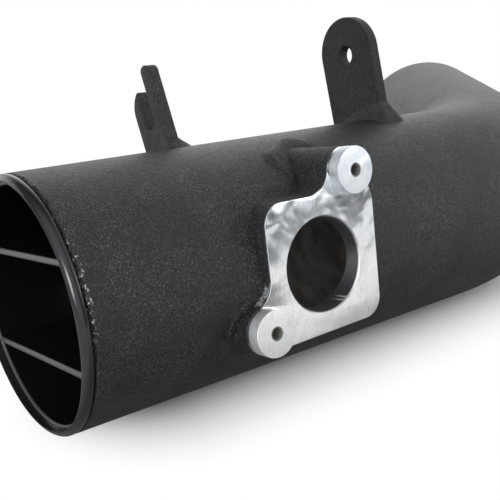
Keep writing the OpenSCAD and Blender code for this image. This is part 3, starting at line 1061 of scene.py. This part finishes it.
def build_tab_bead(name, node, place, w, legs, rises, front_drop=0.0):
    """Bead round a tab's foot.

    The legs on the skin are those at the front, back, near edge and far edge, and the
    rises up the tab those at the near and the far edge. At the front the rise is lower by
    the share front_drop.
    """
    front, back, near_leg, far_leg = legs
    near_rise, far_rise = rises
    half = w / 2
    r = FOOT_CORNER_R
    foot = (arc((TAB_T - r, half - r), r, 0, 90, 6)
            + arc((r, half - r), r, 90, 180, 6)
            + arc((r, -half + r), r, 180, 270, 6)
            + arc((TAB_T - r, -half + r), r, 270, 360, 6))

    def size_at(p, side):
        far_share = clamped((p.y + half) / w)
        along = back if side.x > 0 else front * (1 - 0.5 * far_share)
        across = far_leg if side.y > 0 else near_leg
        leg = math.hypot(side.x * along * (1 - 0.5 * far_share), side.y * across)
        rise = far_rise + (near_rise - far_rise) * (1 - far_share) ** 1.3
        rise *= 1 - front_drop * max(0, -side.x)
        return leg, rise, 0.25 * MM, 0.10 * MM, 0.7

    obj = bead(name, foot, place, size_at, TAB_RIPPLE)
    finish_piece(obj, node, 60)


# The moulded insert


def crowned(start, end, crown, n):
    """Points on a flat arc from start to end that bulges by crown to its right."""
    a, b = Vector(start), Vector(end)
    out = Vector((b.y - a.y, a.x - b.x)).normalized()
    points = []
    for i in range(n + 1):
        t = i / n
        p = a.lerp(b, t) + out * crown * 4 * t * (1 - t)
        points.append((p.x, p.y))
    return points


def build_insert():
    """The collar and its sleeve, turned from one profile, with both blades joined on."""
    around = 256
    lip_r = TUBE_R - COLLAR_ROUND - LIP_W
    sleeve_r = DUCT_R - SLEEVE_GAP
    inner_r = sleeve_r - SLEEVE_WALL
    end_x = COLLAR_L + SLEEVE_L
    soft = SLEEVE_ROUND
    back = COLLAR_BACK_ROUND
    profile = [(lip_r, 0.05 * MM), (lip_r + 0.05 * MM, 0.0)]
    profile += crowned((TUBE_R - COLLAR_ROUND, 0.0), (TUBE_R, COLLAR_ROUND), COLLAR_CROWN, 14)
    profile += [(p.x, p.y) for p in arc((TUBE_R - back, COLLAR_L - back), back, 0, 90, 5)]
    profile += [(sleeve_r, COLLAR_L), (sleeve_r, end_x), (inner_r, end_x)]
    profile += [(p.x, p.y) for p in arc((inner_r + soft, BLADE_SET_BACK + soft), soft, 180, 270, 6)]
    profile += [(lip_r - 0.1 * MM, BLADE_SET_BACK)]
    rings = [[(x, r * math.cos(a), r * math.sin(a)) for a in turns(around)] for r, x in profile]
    obj = loft("insert", rings, closed=True)
    for side in (-1, 1):
        carve(obj, blade_mesh(side, inner_r + SLEEVE_WALL / 2), "UNION")
    obj.data.materials.clear()
    obj.data.materials.append(plastic)
    finish_piece(obj, "flow_straightener", 35)


def blade_mesh(side, reach):
    """A blade across the sleeve, square to the flange's up direction, with a round front edge."""
    tip = BLADE_T / 2
    x0 = BLADE_SET_BACK
    x1 = COLLAR_L + SLEEVE_L - 0.02 * MM
    section = arc((x0 + tip, 0), tip, 90, 270, 12) + [Vector((x1, -tip)), Vector((x1, tip))]
    rings = []
    for end in (-1, 1):
        ring = []
        for p in section:
            v = side * BLADE_H + p.y
            across = end * math.sqrt(reach**2 - v**2)
            ring.append(Vector((p.x, 0, 0)) + FLANGE_V * v + FLANGE_W * across)
        rings.append(ring)
    return loft("blade", rings)


# Stage, light and camera

SKY_TINT = (0.96, 0.98, 1.0, 1.0)
SKY_LEVEL = 0.04
# Direction, where the patch starts and ends (as the cosine to it) and its strength
SKY_GLOWS = (
    ((0.85, 0.45, 0.28), 0.55, 0.98, 1.10),
    ((0.45, 0.88, 0.12), 0.65, 0.98, 1.05),
    ((-0.35, 0.93, 0.04), 0.90, 0.985, 1.20),
    ((0.50, -0.86, 0.05), 0.94, 0.99, 0.17),
    ((-0.75, -0.40, 0.30), 0.30, 0.95, 1.15),
    ((-0.915, -0.26, 0.28), 0.978, 0.995, 13.00),
    ((0.40, -0.33, 0.85), 0.85, 0.99, 0.65),
    ((0.58, -0.66, 0.48), 0.90, 0.985, 1.25),
)

FLOOR_REACH = 6.0
# The floor's colour as the camera sees it, and as the object does
FLOOR_SEEN = 0.84
FLOOR_BOUNCE = 0.40
# How white the floor shows in reflections
FLOOR_MIRRORED = 0.9
# The line on the floor that the shadow lies along, and how far from it the floor starts
# to brighten and is white, as seen and in reflections
SHADOW_LINE = ((0.045, 0.0, 0.0), (0.200, 0.0, 0.0), (0.285, 0.10, 0.0))
SHADOW_EDGE = (0.012, 0.053)
MIRRORED_EDGE = (0.05, 0.30)
# Where the floor before the mouth turns dark in reflections, along X
MOUTH_FLOOR = (-0.05, -0.005)
# The way to the floor that turns dark in reflections, from where to where, and what is left
BEHIND = (-0.71, 0.71, 0.0)
BEHIND_EDGE = (0.12, 0.30)
BEHIND_SHARE = 0.15


def build_floor():
    """A plain floor that is white away from the object and keeps its shadow."""
    size = FLOOR_REACH
    verts = [(-size, -size, 0), (size, -size, 0), (size, size, 0), (-size, size, 0)]
    floor = mesh_object("floor", verts, [(0, 1, 2, 3)])
    floor.location.z = cad_box[0][2]
    paint = Paint("floor")
    paint.set(Roughness=0.9, Specular_IOR_Level=0.0)
    nodes, links = paint.nodes, paint.links
    rays = nodes.new("ShaderNodeLightPath")
    camera = rays.outputs["Is Camera Ray"]
    paint.put(paint.mix(camera, grey(FLOOR_BOUNCE), grey(FLOOR_SEEN)), "Base Color")
    away = None
    for start, end in zip(SHADOW_LINE, SHADOW_LINE[1:]):
        reach = paint.from_segment(start, end)
        away = reach if away is None else paint.math("MINIMUM", away, reach)
    far = paint.ramp(away, *SHADOW_EDGE)
    far_mirrored = paint.ramp(away, *MIRRORED_EDGE, 0.0, FLOOR_MIRRORED)
    by_mouth = paint.ramp(paint.axis(0), *MOUTH_FLOOR, FLOOR_MIRRORED, 0.0)
    far_mirrored = paint.math("MAXIMUM", far_mirrored, by_mouth)
    behind = paint.ramp(paint.along(BEHIND), *BEHIND_EDGE, 1.0, BEHIND_SHARE)
    far_mirrored = paint.math("MULTIPLY", far_mirrored, behind)
    seen = paint.math("MULTIPLY", camera, far)
    mirrored = paint.math("MULTIPLY", rays.outputs["Is Glossy Ray"], far_mirrored)
    glow = nodes.new("ShaderNodeEmission")
    glow.inputs["Color"].default_value = grey(1.0)
    blend = nodes.new("ShaderNodeMixShader")
    links.new(paint.math("MAXIMUM", seen, mirrored), blend.inputs[0])
    links.new(paint.shader.outputs[0], blend.inputs[1])
    links.new(glow.outputs[0], blend.inputs[2])
    links.new(blend.outputs[0], nodes["Material Output"].inputs["Surface"])
    floor.data.materials.append(paint.material)


def glow_towards(nodes, links, direction, low, high, strength):
    """A soft patch of light in the sky around a direction."""
    place = nodes.new("ShaderNodeTexCoord")
    dot = nodes.new("ShaderNodeVectorMath")
    dot.operation = "DOT_PRODUCT"
    links.new(place.outputs["Generated"], dot.inputs[0])
    dot.inputs[1].default_value = Vector(direction).normalized()
    patch = nodes.new("ShaderNodeMapRange")
    patch.interpolation_type = "SMOOTHSTEP"
    links.new(dot.outputs["Value"], patch.inputs["Value"])
    limits = {"From Min": low, "From Max": high, "To Min": 0.0, "To Max": strength}
    for name, value in limits.items():
        patch.inputs[name].default_value = value
    return patch.outputs["Result"]


def build_world():
    """Soft patches of light that add up, and plain white where the camera sees the world."""
    world = bpy.data.worlds.new("studio")
    bpy.context.scene.world = world
    world.use_nodes = True
    nodes, links = world.node_tree.nodes, world.node_tree.links
    sky = nodes["Background"]
    sky.inputs["Color"].default_value = SKY_TINT
    total = None
    for direction, low, high, strength in SKY_GLOWS:
        patch = glow_towards(nodes, links, direction, low, high, strength)
        add = nodes.new("ShaderNodeMath")
        add.operation = "ADD"
        links.new(patch, add.inputs[0])
        add.inputs[1].default_value = SKY_LEVEL
        if total is not None:
            links.new(total, add.inputs[1])
        total = add.outputs[0]
    links.new(total, sky.inputs["Strength"])
    white = nodes.new("ShaderNodeBackground")
    white.inputs["Strength"].default_value = 1.0
    white.inputs["Color"].default_value = grey(1.0)
    rays = nodes.new("ShaderNodeLightPath")
    blend = nodes.new("ShaderNodeMixShader")
    links.new(rays.outputs["Is Camera Ray"], blend.inputs[0])
    links.new(sky.outputs[0], blend.inputs[1])
    links.new(white.outputs[0], blend.inputs[2])
    links.new(blend.outputs[0], nodes["World Output"].inputs["Surface"])


# The lamp at the flange's side
LAMP_PLACE = Vector((0.74, -0.70, 0.50))
LAMP_AIM = Vector((0.12, 0.0, 0.0))
LAMP_SIZE = (0.36, 0.34)
LAMP_POWER = 1.9


def add_lamp():
    lamp = bpy.data.lights.new("side", "AREA")
    lamp.shape = "RECTANGLE"
    lamp.size, lamp.size_y = LAMP_SIZE
    lamp.energy = LAMP_POWER
    obj = new_object("side", lamp)
    obj.location = LAMP_PLACE
    obj.rotation_euler = (LAMP_AIM - LAMP_PLACE).to_track_quat("-Z", "Y").to_euler()


# The photograph's viewpoint, as a plain lens sees it
CAMERA_PLACE = (-0.07276, -0.19632, 0.09288)
CAMERA_AIM = (0.57227, 0.71228, -0.40641)
CAMERA_UP = (0.23734, 0.33051, 0.91347)
CAMERA_LENS = 55.78
CAMERA_SHIFT = (-0.0127, 0.1005)


def add_camera():
    lens = bpy.data.cameras.new("camera")
    lens.sensor_width = 36
    lens.lens = CAMERA_LENS
    lens.shift_x, lens.shift_y = CAMERA_SHIFT
    lens.clip_start = 0.01
    camera = new_object("camera", lens)
    back = -Vector(CAMERA_AIM).normalized()
    right = Vector(CAMERA_UP).cross(back).normalized()
    camera.matrix_world = columns(right, back.cross(right), back, CAMERA_PLACE)
    bpy.context.scene.camera = camera


bpy.context.scene.view_settings.view_transform = "Standard"
add_camera()
build_floor()
build_world()
add_lamp()
build_duct()
build_insert()
build_flange()
build_flange_bead()
build_holed_tab()
build_tab_bead("holed_bead", "holed_tab_weld", foot_place(HOLED_X, HOLED_TURN), HOLED_W,
               legs=(1.7 * MM, 6.0 * MM, 3.0 * MM, 0.6 * MM), rises=(7.0 * MM, 1.2 * MM))
build_slotted_tab()
build_tab_bead("slotted_bead", "slotted_tab_weld", foot_place(SLOTTED_X, SLOTTED_TURN), SLOTTED_W,
               legs=(1.2 * MM, 3.6 * MM, 2.4 * MM, 0.6 * MM), rises=(3.4 * MM, 1.2 * MM),
               front_drop=0.6)
